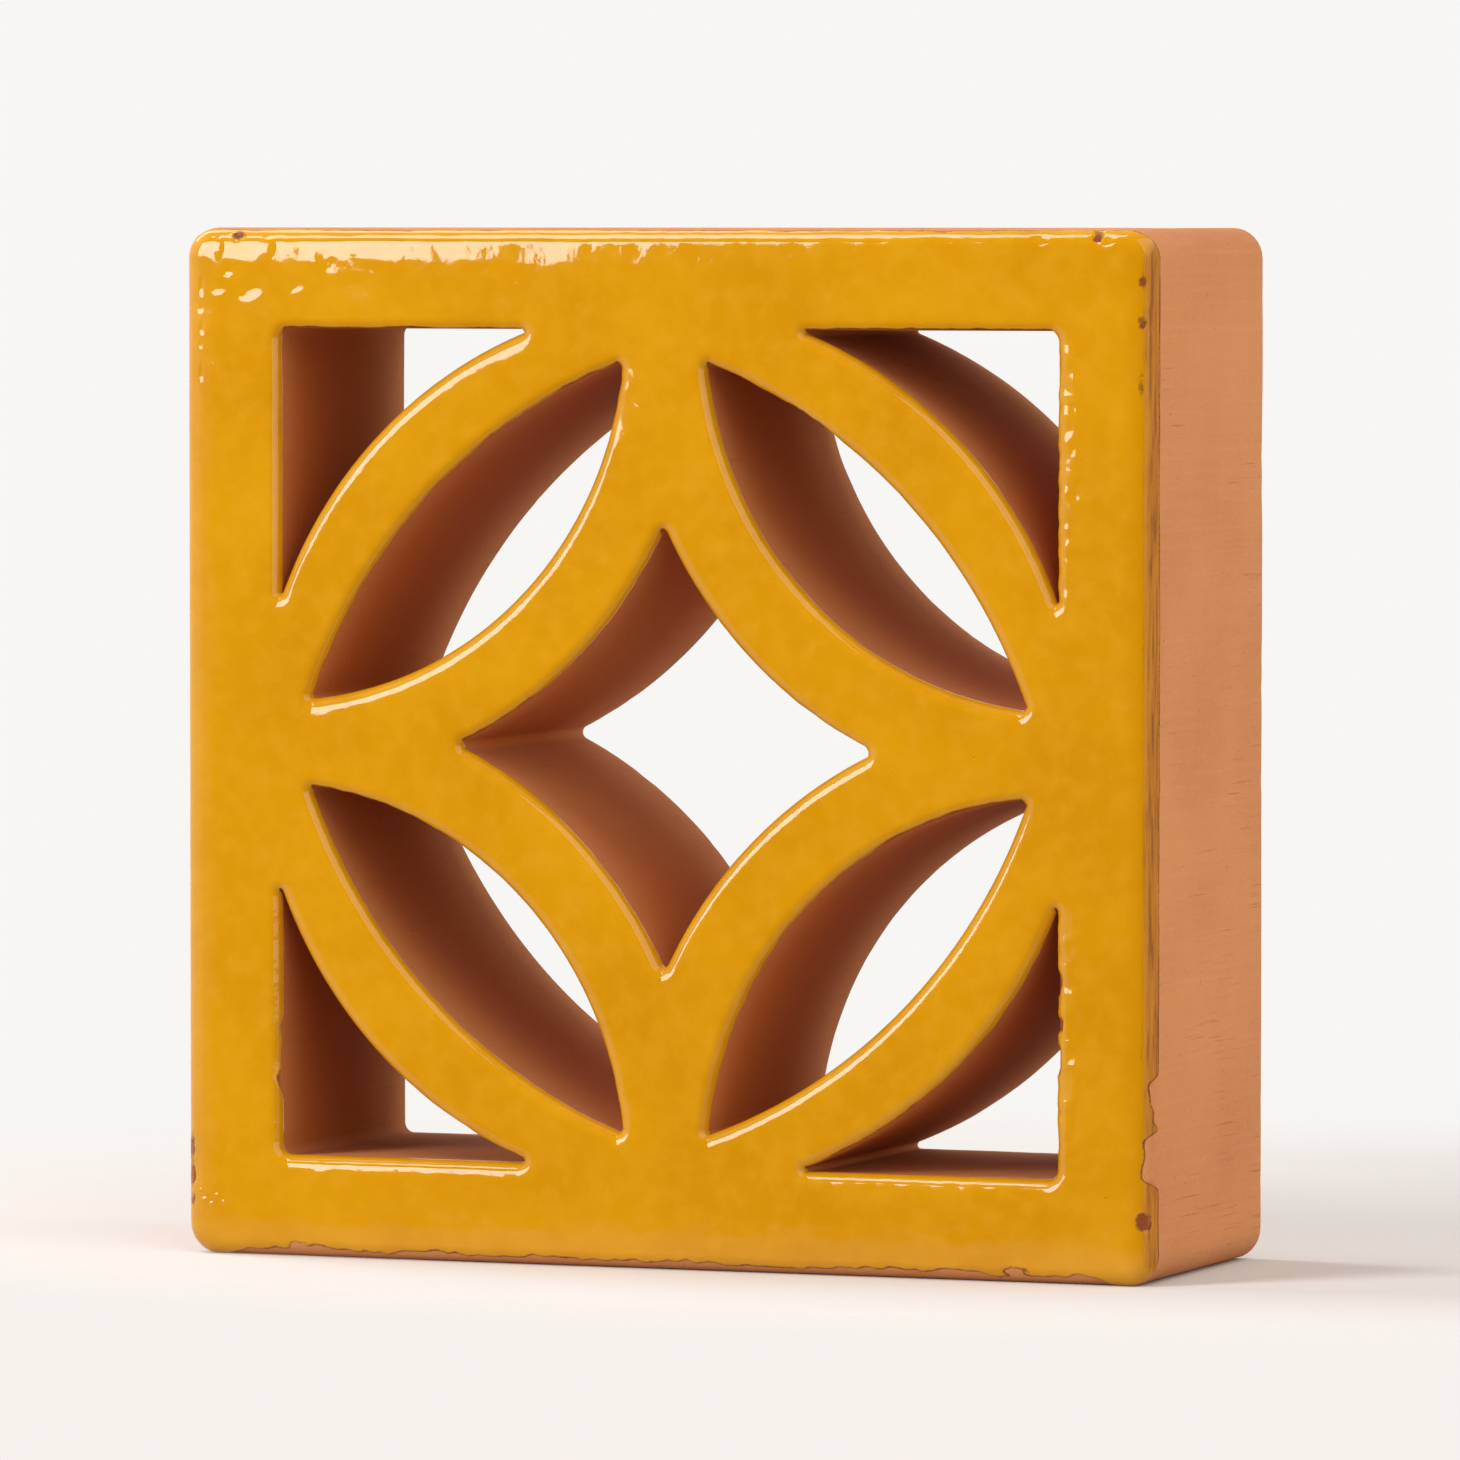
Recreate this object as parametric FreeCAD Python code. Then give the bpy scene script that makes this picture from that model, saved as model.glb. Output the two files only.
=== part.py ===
"""Glazed screen block: a square block of fired clay, pierced by a four-petal pattern.

The block stands on its bottom bed face. X runs to the right, Y to the back and Z up, in millimetres.
The origin is the middle of the bottom face, and the glazed front looks along -Y.
"""
import FreeCAD
import Part
import math
import os

# The block as a whole.
FACE_SIDE = 200.0          # width and height of the face
DEPTH = 65.0               # from the front face to the back face
CORNER_RADIUS = 6.0        # the four outer corners, seen from the front
FRONT_EDGE_RADIUS = 3.5    # outer edge of the front face, rounded before glazing
BACK_EDGE_RADIUS = 2.0     # outer edge of the back face

# The bars that the openings leave, measured on the face.
FRAME_BAR = 19.5           # straight bars around the pattern
STAR_BAR = 16.0            # curved bars between the star and the leaves
RING_BAR = 15.0            # round bars between the leaves and the corner openings, on the diagonal
RING_JOINT = 52.0          # length over which the ring runs into each frame bar
LEAF_WIDTH = 27.8          # leaf opening across its middle, on the diagonal
LEAF_TIP_WALL = 6.0        # clay between a leaf's tip and the inner line of the frame

# The edges of the openings.
STAR_TIP_RADIUS = 1.2
LEAF_TIP_RADIUS = 1.0
CORNER_TIP_RADIUS = 0.6    # the two sharp tips of a corner opening
CORNER_INNER_RADIUS = 2.0  # the square corner of a corner opening
FRONT_LIP_CHAMFER = 1.2    # scraped lip around each opening at the front, which the glaze rounds off
BACK_LIP_CHAMFER = 0.8     # scraped edge around each opening at the back

# What follows from those sizes.
FRONT = -DEPTH / 2
BACK = DEPTH / 2
CENTRE_HEIGHT = FACE_SIDE / 2
OPEN_HALF = FACE_SIDE / 2 - FRAME_BAR
FACE_AXIS = FreeCAD.Vector(0, 1, 0)
FACE_CENTRE = FreeCAD.Vector(0, 0, CENTRE_HEIGHT)
QUARTERS = range(4)
TOUCH = 0.001              # how near a point counts as lying on a plane or corner


def on_face(across, up):
    """A point of the front plane, measured from the middle of the face."""
    return FreeCAD.Vector(across, FRONT, CENTRE_HEIGHT + up)


def on_diagonal(distance):
    """A point of the front plane on the upper right diagonal, at a distance from the middle."""
    return on_face(distance / math.sqrt(2), distance / math.sqrt(2))


def arc(start, through, end):
    return Part.Arc(start, through, end).toShape()


def line(start, end):
    return Part.LineSegment(start, end).toShape()


def prism(edges):
    """The outline pushed from the front plane to the back plane."""
    outline = Part.Face(Part.Wire(edges))
    return outline.extrude(FreeCAD.Vector(0, DEPTH, 0))


def with_round_corners(solid, radius, corners):
    """Round the edges that run from front to back through the given points of the front plane."""
    chosen = []
    for edge in solid.Edges:
        ends = [vertex.Point for vertex in edge.Vertexes]
        runs_back = abs(ends[0].y - ends[-1].y) > DEPTH - TOUCH
        front_end = min(ends, key=lambda point: point.y)
        if runs_back and any(front_end.distanceToPoint(corner) < TOUCH for corner in corners):
            chosen.append(edge)
    return solid.makeFillet(radius, chosen)


def turned(solid, quarter):
    """A copy turned by quarter turns about the axis through the middle of the face."""
    copy = solid.copy()
    copy.rotate(FACE_CENTRE, FACE_AXIS, 90 * quarter)
    return copy


# The curved bars follow circles about the corners of the pattern's square, which touch its sides at
# their middles. On the diagonal, leaf, ring and corner opening follow one another outwards.
STAR_EDGE_RADIUS = OPEN_HALF + STAR_BAR / 2
LEAF_EDGE_RADIUS = OPEN_HALF - STAR_BAR / 2
SQUARE_CORNER_REACH = OPEN_HALF * math.sqrt(2)
STAR_WAIST = SQUARE_CORNER_REACH - STAR_EDGE_RADIUS
LEAF_INNER = SQUARE_CORNER_REACH - LEAF_EDGE_RADIUS
LEAF_OUTER = LEAF_INNER + LEAF_WIDTH
RING_OUTER = LEAF_OUTER + RING_BAR


def star_opening():
    """The four-pointed star in the middle, with a tip towards each frame bar."""
    tip_reach = OPEN_HALF - math.sqrt(STAR_EDGE_RADIUS ** 2 - OPEN_HALF ** 2)
    tip = on_face(tip_reach, 0)
    next_tip = on_face(0, tip_reach)
    side = arc(tip, on_diagonal(STAR_WAIST), next_tip)
    sides = [turned(side, quarter) for quarter in QUARTERS]
    tips = [side.Vertexes[0].Point for side in sides]
    return with_round_corners(prism(Part.sortEdges(sides)[0]), STAR_TIP_RADIUS, tips)


def leaf_opening():
    """The leaf of the upper right quarter, pointed at both ends."""
    tip_across = OPEN_HALF - LEAF_TIP_WALL
    tip_up = OPEN_HALF - math.sqrt(LEAF_EDGE_RADIUS ** 2 - LEAF_TIP_WALL ** 2)
    low_tip = on_face(tip_across, tip_up)
    high_tip = on_face(tip_up, tip_across)
    inner_side = arc(low_tip, on_diagonal(LEAF_INNER), high_tip)
    outer_side = arc(high_tip, on_diagonal(LEAF_OUTER), low_tip)
    return with_round_corners(prism([inner_side, outer_side]), LEAF_TIP_RADIUS, [low_tip, high_tip])


def corner_opening():
    """The opening of the upper right corner, between the frame and the outside of the ring."""
    low_tip = on_face(OPEN_HALF, RING_JOINT / 2)
    high_tip = on_face(RING_JOINT / 2, OPEN_HALF)
    inner_corner = on_face(OPEN_HALF, OPEN_HALF)
    outline = [
        line(low_tip, inner_corner),
        line(inner_corner, high_tip),
        arc(high_tip, on_diagonal(RING_OUTER), low_tip),
    ]
    opening = with_round_corners(prism(outline), CORNER_INNER_RADIUS, [inner_corner])
    return with_round_corners(opening, CORNER_TIP_RADIUS, [low_tip, high_tip])


def edges_on_plane(solid, plane_y, reach):
    """The edges that lie on a plane parallel to the face, within a reach of its middle."""
    chosen = []
    for edge in solid.Edges:
        box = edge.BoundBox
        on_plane = abs(box.YMin - plane_y) < TOUCH and abs(box.YMax - plane_y) < TOUCH
        across = max(abs(box.XMin), abs(box.XMax))
        up = max(abs(box.ZMin - CENTRE_HEIGHT), abs(box.ZMax - CENTRE_HEIGHT))
        if on_plane and max(across, up) < reach + TOUCH:
            chosen.append(edge)
    return chosen


def plain_block():
    """The block before piercing, with its outer edges rounded."""
    half = FACE_SIDE / 2
    corners = [on_face(-half, -half), on_face(half, -half), on_face(half, half), on_face(-half, half)]
    sides = [line(corners[quarter - 1], corners[quarter]) for quarter in QUARTERS]
    block = with_round_corners(prism(sides), CORNER_RADIUS, corners)
    block = block.makeFillet(FRONT_EDGE_RADIUS, edges_on_plane(block, FRONT, half))
    return block.makeFillet(BACK_EDGE_RADIUS, edges_on_plane(block, BACK, half))


def screen_block():
    openings = [star_opening()]
    for quarter in QUARTERS:
        openings.append(turned(leaf_opening(), quarter))
        openings.append(turned(corner_opening(), quarter))
    block = plain_block().cut(openings)
    block = block.makeChamfer(FRONT_LIP_CHAMFER, edges_on_plane(block, FRONT, OPEN_HALF))
    block = block.makeChamfer(BACK_LIP_CHAMFER, edges_on_plane(block, BACK, OPEN_HALF))
    return block.Solids[0]


os.makedirs("parts", exist_ok=True)
screen_block().exportStep("parts/screen_block.step")
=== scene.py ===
import math

import bpy
import numpy as np
from bpy.props import FloatProperty, FloatVectorProperty, PointerProperty
from bpy.types import Operator, Panel, PropertyGroup
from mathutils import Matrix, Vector, noise


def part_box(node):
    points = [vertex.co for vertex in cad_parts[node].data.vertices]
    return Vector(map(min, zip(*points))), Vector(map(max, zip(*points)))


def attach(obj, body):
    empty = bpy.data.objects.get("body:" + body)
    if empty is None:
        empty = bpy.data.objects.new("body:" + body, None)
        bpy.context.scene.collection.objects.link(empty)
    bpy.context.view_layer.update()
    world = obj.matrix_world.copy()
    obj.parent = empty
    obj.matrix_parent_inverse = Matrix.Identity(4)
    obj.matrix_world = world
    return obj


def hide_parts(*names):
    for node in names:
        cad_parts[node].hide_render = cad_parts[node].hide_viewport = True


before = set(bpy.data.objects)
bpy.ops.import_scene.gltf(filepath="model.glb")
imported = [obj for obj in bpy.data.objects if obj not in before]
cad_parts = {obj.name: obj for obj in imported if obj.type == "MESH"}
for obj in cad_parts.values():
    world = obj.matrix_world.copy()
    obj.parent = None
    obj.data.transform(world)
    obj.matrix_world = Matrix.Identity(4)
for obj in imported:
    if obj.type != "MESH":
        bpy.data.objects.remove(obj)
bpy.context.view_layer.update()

bl_info = {
    "name": "Glazed screen block",
    "version": (1, 0, 0),
    "blender": (4, 5, 0),
    "location": "View3D > Sidebar > Screen block",
    "description": "Fired clay screen block with a glazed, pierced front",
    "category": "Object",
}

# The block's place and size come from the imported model. The face is measured from its middle.
BLOCK_LOW, BLOCK_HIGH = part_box("screen_block")
FACE_HALF = (BLOCK_HIGH.x - BLOCK_LOW.x) / 2
DEPTH = BLOCK_HIGH.y - BLOCK_LOW.y
FRONT = BLOCK_LOW.y
CENTRE_HEIGHT = (BLOCK_LOW.z + BLOCK_HIGH.z) / 2

MM = 0.001
FAR = 10000.0            # radius in metres of the circle that stands for a straight side
CLAY_INSIDE = -1         # the clay lies inside an outline's circle
CLAY_OUTSIDE = 1         # the clay lies outside an outline's circle
LEAST_STEPS = 8          # steps in the shortest arc of an outline
SQUARE_ROW_RADIUS = 0.5 * MM   # rounding that the face's innermost rows keep at the corners

# Directions on the face, across and up, and the signs of its quarters.
RIGHT = (1, 0)
LEFT = (-1, 0)
UP = (0, 1)
DOWN = (0, -1)
QUARTER_SIGNS = ((1, 1), (-1, 1), (-1, -1), (1, -1))


def length(name, description, default):
    return FloatProperty(name=name, description=description, default=default, unit='LENGTH', precision=5)


def share(name, description, default):
    return FloatProperty(name=name, description=description, default=default, min=0, max=1,
                         subtype='FACTOR')


def power(name, description, default):
    return FloatProperty(name=name, description=description, default=default, unit='POWER')


def colour(name, description, default):
    return FloatVectorProperty(name=name, description=description, default=default, min=0, max=1,
                               size=3, subtype='COLOR')


def place(name, description, default):
    return FloatVectorProperty(name=name, description=description, default=default, size=3,
                               subtype='TRANSLATION', unit='LENGTH')


class ClaySizes(PropertyGroup):
    """Sizes of the clay block, measured on its face."""
    frame_bar: length("Frame bar", "Width of the straight bars around the pattern", 0.0195)
    star_bar: length("Star bar", "Width of the curved bars between the star and the leaves", 0.016)
    ring_bar: length("Ring bar", "Width of the round bars outside the leaves, on the diagonal", 0.015)
    ring_joint: length("Ring joint", "Length over which the ring runs into a frame bar", 0.052)
    leaf_width: length("Leaf width", "Width of a leaf opening across its middle", 0.0278)
    leaf_tip_wall: length("Leaf tip wall", "Clay between a leaf's tip and the frame's inner line", 0.006)
    corner_radius: length("Corner radius", "Rounding of the four outer corners", 0.006)
    star_tip_radius: length("Star tip radius", "Rounding of the star's tips", 0.0012)
    leaf_tip_radius: length("Leaf tip radius", "Rounding of a leaf's tips", 0.001)
    corner_tip_radius: length("Corner opening tips", "Rounding of a corner opening's tips", 0.0006)
    corner_inner_radius: length("Corner opening corner", "Rounding of its square corner", 0.002)
    front_edge_radius: length("Front edge radius", "Rounding of the face's outer edge", 0.0035)
    front_lip_radius: length("Front lip radius", "Rounding of an opening's lip at the front", 0.0021)
    back_edge_radius: length("Back edge radius", "Rounding of the back's outer edge", 0.0018)
    back_lip_radius: length("Back lip radius", "Rounding of an opening's lip at the back", 0.0009)
    unevenness: length("Unevenness", "How far the fired walls stray from the plane", 0.00012)


class GlazeSizes(PropertyGroup):
    """How the glaze lies on the front."""
    recess: length("Recess", "How far the clay face stands back to leave room for the glaze", 0.0006)
    thickness: length("Thickness", "Thickness on the flat of a bar", 0.00046)
    edge_thickness: length("Edge thickness", "Thickness along the block's outer edge", 0.00022)
    right_thickness: length("Right edge thickness", "Thickness along the worn right edge", 0.00009)
    lip_thickness: length("Lip thickness", "Thickness along the openings' lips", 0.00043)
    ledge_thickness: length("Ledge thickness", "Thickness along the lips that look straight up", 0.00031)
    wave: length("Wave", "Height of the waves along the glaze's edges", 0.0001)
    rim_width: length("Rim width", "Width of the rounded rim where the glaze ends", 0.0005)
    lip_run: length("Lip run", "How far the glaze runs past a lip into an opening", 0.0003)
    ceiling_bare: length("Bare ceiling lip", "Clay left bare on the lips that look down", 0.0014)
    waver: length("Waver", "How far the glaze's end strays", 0.0005)
    ragged: length("Ragged end", "How far the end strays where the clay is bare", 0.0009)
    # The margin is where the dark line of painted shade and thin glaze lies.
    margin: length("Margin", "Width of the thin, darker glaze inside its end", 0.0016)
    side_share: share("Side end", "End of the glaze at both sides, as a share of the rounding", 0.14)
    top_share: share("Top end", "End of the glaze at the top, as a share of the rounding", 0.36)
    bottom_share: share("Bottom end", "End of the glaze at the bottom, as a share of the rounding", 0.62)


class Finish(PropertyGroup):
    """Colours of the glaze and the clay."""
    glaze: colour("Glaze", "Mustard yellow of the glaze", (0.70, 0.31, 0.003))
    # Deep amber, also painted along the right edge as shade.
    glaze_deep: colour("Deep glaze", "Amber where the glaze pools", (0.60, 0.245, 0.001))
    glaze_light: colour("Light glaze", "Paler yellow where the glaze lies thin on the flat",
                        (0.74, 0.365, 0.016))
    # Brown of thin glaze, painted only along the right edge, where it also stands for shade.
    glaze_thin_and_shade: colour("Thin glaze", "Brown where clay shows through the glaze", (0.43, 0.135, 0.0))
    # Dark line along the glaze's end and round chips, and dark runs on the right edge: painted shade of the
    # step there, with the brown of glaze thinning over clay.
    glaze_end: colour("Glaze end", "Dark line along the glaze's end", (0.15, 0.032, 0.0))
    pinhole: colour("Pinhole", "Specks in the glaze", (0.20, 0.07, 0.008))
    clay: colour("Clay", "Terracotta of the bare clay", (0.67, 0.268, 0.100))
    clay_dark: colour("Dark clay", "Burnt patches of the clay", (0.56, 0.205, 0.075))
    clay_pale: colour("Pale clay", "Dusty streaks of the clay", (0.72, 0.335, 0.160))
    # Darker, redder tone painted deep inside the openings as shade.
    clay_inside_shade: colour("Inner clay", "Redder clay inside the openings", (0.50, 0.132, 0.012))
    # Dark brown given to the clay close to the face, which shows in chips and where the glaze ends.
    clay_dark_near_face: colour("Burnt clay", "Clay that the glaze has left bare", (0.20, 0.034, 0.004))
    grog: colour("Grog", "Dark grains in the clay", (0.30, 0.10, 0.04))


class StageSettings(PropertyGroup):
    """Camera, floor and light."""
    camera: place("Camera", "Where the camera stands", (0.793, -2.022, 0.2025))
    target: place("Target", "Where the camera looks", (0.0015, 0.0, 0.1025))
    lens: FloatProperty(name="Lens", description="Focal length", default=276, unit='CAMERA')
    floor: colour("Floor", "Pale warm floor", (0.82, 0.785, 0.755))
    floor_bounce: colour("Floor bounce", "Share of its light that the floor gives back", (0.50, 0.46, 0.42))
    back_light: colour("Background", "White of the studio behind the block", (0.93, 0.92, 0.90))
    far_floor: colour("Far floor", "Warm white of the floor where it fades", (0.93, 0.885, 0.845))
    front_dim: colour("Front", "Dim side of the studio, in front of the block", (0.05, 0.048, 0.045))
    room_light: colour("Room light", "Light that the room gives back", (0.10, 0.098, 0.094))
    wall_light: colour("Wall light", "Light that the white wall behind the block gives back",
                       (0.50, 0.49, 0.475))
    key_power: power("Key lamp", "Soft lamp at the front left", 29)
    strip_power: power("Strip lamp", "Soft strip high above the front left", 5.8)
    top_power: power("Top lamp", "Soft lamp above the left side", 12)
    fill_power: power("Fill lamp", "Large soft lamp at the right", 36)


def circles_meet(first, second, near):
    """Where two circles cross. Each is a centre and a radius; the crossing nearest to a point is meant."""
    (large_centre, large), (small_centre, small) = sorted((first, second), key=lambda circle: -circle[1])
    apart = large_centre - small_centre
    reach = math.hypot(*apart)
    axis = apart / reach
    along = ((reach - large) * (reach + large) + small ** 2) / (2 * reach)
    aside = math.sqrt(small ** 2 - along ** 2)
    across = np.array((-axis[1], axis[0]))
    crossings = [small_centre + axis * along + across * aside * sign for sign in (1, -1)]
    return min(crossings, key=lambda point: math.hypot(*(point - near)))


def side(centre_across, centre_up, radius, clay):
    """A round side of an outline: its circle, and where the clay lies."""
    return np.array((centre_across, centre_up)), radius, clay


def straight_side(out_across, out_up, distance, clay):
    """A straight side at a distance from the middle, in the direction it looks, as a very large circle."""
    back = FAR - distance
    return side(-out_across * back, -out_up * back, FAR, clay)


def arc_points(centre, radius, clay, start, end, step):
    """Points along an arc between two directions, without the last, and the way into the clay at each."""
    start_angle = math.atan2(start[1], start[0])
    turn = (math.atan2(end[1], end[0]) - start_angle + math.pi) % (2 * math.pi) - math.pi
    steps = max(LEAST_STEPS, math.ceil(abs(turn) * radius / step))
    angles = start_angle + turn * np.arange(steps) / steps
    outward = np.stack((np.cos(angles), np.sin(angles)), axis=1)
    return centre + radius * outward, clay * outward


def rounded_outline(sides, corners, radii, corner_clay, step):
    """Points around an outline and the way into the clay at each. Corner k joins side k to the next one."""
    count = len(sides)
    round_centres = []
    for index in range(count):
        circles = []
        for centre, radius, clay in (sides[index], sides[(index + 1) % count]):
            circles.append((centre, radius - clay * corner_clay * radii[index]))
        round_centres.append(circles_meet(*circles, np.array(corners[index])))
    points = []
    inward = []
    for index, (centre, radius, clay) in enumerate(sides):
        here = round_centres[index]
        touch = centre + (here - centre) / math.hypot(*(here - centre)) * radius
        next_centre, next_radius, _ = sides[(index + 1) % count]
        away = here - next_centre
        next_touch = next_centre + away / math.hypot(*away) * next_radius
        for stretch in (
            arc_points(centre, radius, clay, round_centres[index - 1] - centre, here - centre, step),
            arc_points(here, radii[index], corner_clay, touch - here, next_touch - here, step),
        ):
            points.append(stretch[0])
            inward.append(stretch[1])
    return np.concatenate(points), np.concatenate(inward)


def turned(outline, quarter):
    """The outline turned by quarter turns about the middle of the face."""
    turns = {0: ((1, 0), (0, 1)), 1: ((0, 1), (-1, 0)), 2: ((-1, 0), (0, -1)), 3: ((0, -1), (1, 0))}
    matrix = np.array(turns[quarter])
    return outline[0] @ matrix, outline[1] @ matrix


def block_outline(sizes, step):
    """The rounded square of the face."""
    half = FACE_HALF
    sides = [straight_side(*direction, half, CLAY_INSIDE) for direction in (DOWN, RIGHT, UP, LEFT)]
    corners = [(half, -half), (half, half), (-half, half), (-half, -half)]
    return rounded_outline(sides, corners, [sizes.corner_radius] * 4, CLAY_INSIDE, step)


def star_outline(sizes, step):
    """The four-pointed star in the middle."""
    open_half = FACE_HALF - sizes.frame_bar
    radius = open_half + sizes.star_bar / 2
    tip = open_half - math.sqrt(radius ** 2 - open_half ** 2)
    sides = [side(right * open_half, above * open_half, radius, CLAY_INSIDE)
             for right, above in QUARTER_SIGNS]
    tips = [(0, tip), (-tip, 0), (0, -tip), (tip, 0)]
    return rounded_outline(sides, tips, [sizes.star_tip_radius] * 4, CLAY_OUTSIDE, step)


def diagonal_circle(end, middle):
    """Centre (across and up alike) and radius of the circle through a point, its mirror image in the
    diagonal and a point of the diagonal at a distance from the middle."""
    reach = middle / math.sqrt(2)
    centre = (end[0] ** 2 + end[1] ** 2 - 2 * reach ** 2) / (2 * (end[0] + end[1] - 2 * reach))
    return centre, math.sqrt(2) * abs(reach - centre)


def leaf_sizes(sizes):
    """Half width of the pattern, and the leaf's inner radius and outer place on the diagonal."""
    open_half = FACE_HALF - sizes.frame_bar
    inner_radius = open_half - sizes.star_bar / 2
    inner = open_half * math.sqrt(2) - inner_radius
    return open_half, inner_radius, inner + sizes.leaf_width


def leaf_outline(sizes, step):
    """The upper right leaf, pointed at both ends."""
    open_half, inner_radius, outer = leaf_sizes(sizes)
    across = open_half - sizes.leaf_tip_wall
    up = open_half - math.sqrt(inner_radius ** 2 - sizes.leaf_tip_wall ** 2)
    centre, radius = diagonal_circle((across, up), outer)
    sides = [side(open_half, open_half, inner_radius, CLAY_OUTSIDE),
             side(centre, centre, radius, CLAY_OUTSIDE)]
    tips = [(up, across), (across, up)]
    return rounded_outline(sides, tips, [sizes.leaf_tip_radius] * 2, CLAY_OUTSIDE, step)


def corner_outline(sizes, step):
    """The upper right corner opening, between the frame and the ring."""
    open_half, _, outer = leaf_sizes(sizes)
    joint = sizes.ring_joint / 2
    centre, radius = diagonal_circle((open_half, joint), outer + sizes.ring_bar)
    sides = [straight_side(*RIGHT, open_half, CLAY_OUTSIDE), straight_side(*UP, open_half, CLAY_OUTSIDE),
             side(centre, centre, radius, CLAY_INSIDE)]
    corners = [(open_half, open_half), (joint, open_half), (open_half, joint)]
    radii = [sizes.corner_inner_radius, sizes.corner_tip_radius, sizes.corner_tip_radius]
    return rounded_outline(sides, corners, radii, CLAY_OUTSIDE, step)


class Columns:
    """The places around all outlines at which a piece has a column of corners."""

    def __init__(self, sizes, edge_step, lip_step):
        outlines = [block_outline(sizes, edge_step), star_outline(sizes, lip_step)]
        for quarter in range(4):
            outlines.append(turned(leaf_outline(sizes, lip_step), quarter))
            outlines.append(turned(corner_outline(sizes, lip_step), quarter))
        self.counts = [len(points) for points, _ in outlines]
        self.place = np.concatenate([points for points, _ in outlines])
        self.inward = np.concatenate([inward for _, inward in outlines])
        self.at_edge = np.arange(len(self.place)) < self.counts[0]
        self.lip = np.where(self.at_edge, sizes.front_edge_radius, sizes.front_lip_radius)
        self.back_lip = np.where(self.at_edge, sizes.back_edge_radius, sizes.back_lip_radius)
        # Further in than the corners' rounding, the outer edge's rows stay square as they shrink.
        self.round_inset = np.where(self.at_edge, sizes.corner_radius - SQUARE_ROW_RADIUS, FACE_HALF)
        squared = -np.clip(self.place / (FACE_HALF - sizes.corner_radius), -1, 1)
        self.further_in = np.where(self.at_edge[:, None], squared, self.inward)

    def looks(self, direction, sharpness=2):
        """1 in the columns whose wall looks in a direction, less to both sides of it."""
        across, up = direction
        outward = -(self.inward[:, 0] * across + self.inward[:, 1] * up)
        return np.clip(outward, 0, 1) ** sharpness


def profile(columns, run, depth):
    """The clay's surface in a column, from a distance run along it.

    The run is 0 where the front lip meets the wall, grows over the lip onto the face, and falls along the
    wall to the back. Returned are the way into the clay, the way back from the face, and the outward
    direction along both.
    """
    lip = columns.lip
    back_lip = columns.back_lip
    wall = depth - lip - back_lip
    front_angle = np.clip(run / lip, 0, math.pi / 2)
    back_angle = np.clip((-wall - run) / back_lip, 0, math.pi / 2)
    on_face = np.maximum(run - lip * math.pi / 2, 0)
    on_back = np.maximum(-wall - back_lip * math.pi / 2 - run, 0)
    down_wall = np.clip(-run, 0, wall)
    behind = run < -wall
    inset_front = lip * (1 - np.cos(front_angle)) + on_face
    inset_back = back_lip * (1 - np.cos(back_angle)) + on_back
    inset = np.where(behind, inset_back, inset_front)
    back_front = lip * (1 - np.sin(front_angle)) + down_wall
    back = np.where(behind, depth - back_lip + back_lip * np.sin(back_angle), back_front)
    out_inset = np.where(behind, -np.cos(back_angle), -np.cos(front_angle))
    out_back = np.where(behind, np.sin(back_angle), -np.sin(front_angle))
    return inset, back, out_inset, out_back


def clay_points(columns, run, rise, recess):
    """Corners of a table of runs (rows by columns), lifted off the clay by a table of rises."""
    inset, back, out_inset, out_back = profile(columns, run, DEPTH - recess)
    inset = inset + out_inset * rise
    back = back + out_back * rise
    round_inset = np.minimum(inset, columns.round_inset)
    further = inset - round_inset
    across, up = (columns.place[:, axis] + columns.inward[:, axis] * round_inset
                  + columns.further_in[:, axis] * further for axis in (0, 1))
    return np.stack((across, FRONT + recess + back, CENTRE_HEIGHT + up), axis=-1)


SEED_SHIFT = Vector((17.3, 5.1, 29.7))   # how far one seed's noise is read from the next one's


def ripple(points, size, seed):
    """Smooth noise, mostly between -1 and 1, at points in metres."""
    shift = SEED_SHIFT * seed
    flat = points.reshape(-1, 3)
    values = [noise.noise(Vector(point) / size + shift) for point in flat]
    return np.array(values).reshape(points.shape[:-1])


def ripples(points, *parts):
    """A sum of ripples, each given by its weight, size and seed."""
    return sum(weight * ripple(points, size, seed) for weight, size, seed in parts)


def smooth_step(low, high, value):
    """0 below a low value, 1 above a high one, and smooth between them."""
    part = np.clip((value - low) / (high - low), 0, 1)
    return part * part * (3 - 2 * part)


def choose(piece, attribute, value):
    """Select the corners of a piece whose attribute has a value, in edit mode."""
    bpy.ops.object.mode_set(mode='EDIT')
    bpy.ops.mesh.select_mode(type='VERT')
    bpy.ops.mesh.select_all(action='DESELECT')
    bpy.ops.object.mode_set(mode='OBJECT')
    values = np.empty(len(piece.data.vertices), dtype=np.int32)
    piece.data.attributes[attribute].data.foreach_get("value", values)
    piece.data.vertices.foreach_set("select", values == value)
    bpy.ops.object.mode_set(mode='EDIT')


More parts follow.
